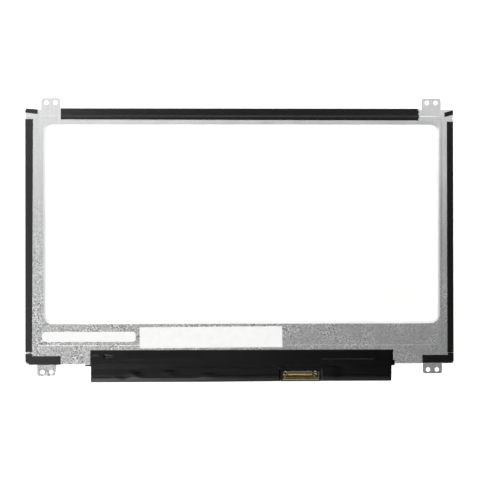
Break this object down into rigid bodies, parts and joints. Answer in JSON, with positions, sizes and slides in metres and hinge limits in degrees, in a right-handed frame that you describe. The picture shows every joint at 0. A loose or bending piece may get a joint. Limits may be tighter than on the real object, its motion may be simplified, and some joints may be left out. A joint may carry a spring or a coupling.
{
  "type": "laptop screen panel",
  "caption": "Slim edge-lit laptop display panel seen from behind: folded metal rear frame with screw tabs, black edge tapes, control board under film and a cable socket.",
  "frame": {"origin": "middle of the outline, tabs and board included, on the front face that the panel lies on", "axes": "+X along the wide side to the right as seen from behind, +Y up the panel away from the board, +Z out of the rear side"},
  "size_m": [0.268, 0.1776, 0.003],
  "materials": {
    "zinc_coated_steel": "matt zinc coat, fine speckle",
    "white_reflector_film": "soft matt",
    "black_edge_tape": "matt film tape",
    "label_paper": "plain, bare",
    "black_cover_film": "satin film",
    "socket_plastic": "moulded",
    "gold_contact": "thin gold plate",
    "socket_metal": "stamped, tarnished plate",
    "polariser_film": "anti-glare",
    "filter_glass": "polished, black matrix",
    "display_glass": "polished",
    "rim_tape_film": "matt",
    "white_moulded_plastic": "moulded",
    "optical_film": "frosted",
    "clear_acrylic": "clear",
    "polyimide_flex": "amber film",
    "led_resin": "phosphor resin",
    "chip_epoxy": "moulded",
    "solder_mask_board": "black-green solder mask",
    "ferrite": "fired",
    "capacitor_ceramic": "fired",
    "resistor_ceramic": "glazed",
    "flex_socket_plastic": "moulded"
  },
  "bodies": {
    "root": {"rear_frame": "zinc_coated_steel", "reflector_sheet": "white_reflector_film", "top_tape": "black_edge_tape", "left_tape": "black_edge_tape", "right_tape": "black_edge_tape", "top_left_corner_tape": "black_edge_tape", "top_right_corner_tape": "black_edge_tape", "bottom_left_corner_tape": "black_edge_tape", "bottom_right_corner_tape": "black_edge_tape", "narrow_label": "label_paper", "wide_label": "label_paper", "board_cover_film": "black_cover_film", "driver_cover_tape": "black_cover_film", "socket_housing": "socket_plastic", "socket_contacts": "gold_contact", "socket_shell": "socket_metal", "front_polariser": "polariser_film", "rear_polariser": "polariser_film", "colour_filter_glass": "filter_glass", "array_glass": "display_glass", "rim_tape": "rim_tape_film", "moulded_frame": "white_moulded_plastic", "upper_prism_sheet": "optical_film", "lower_prism_sheet": "optical_film", "diffuser_sheet": "optical_film", "light_guide_plate": "clear_acrylic", "led_flex": "polyimide_flex", "driver_films": "polyimide_flex", "led_packages": "led_resin", "driver_chips": "chip_epoxy", "timing_controller": "chip_epoxy", "power_chip": "chip_epoxy", "backlight_chip": "chip_epoxy", "control_board": "solder_mask_board", "board_inductors": "ferrite", "board_capacitors": "capacitor_ceramic", "board_resistors": "resistor_ceramic", "backlight_socket": "flex_socket_plastic"}
  },
  "joints": []
}
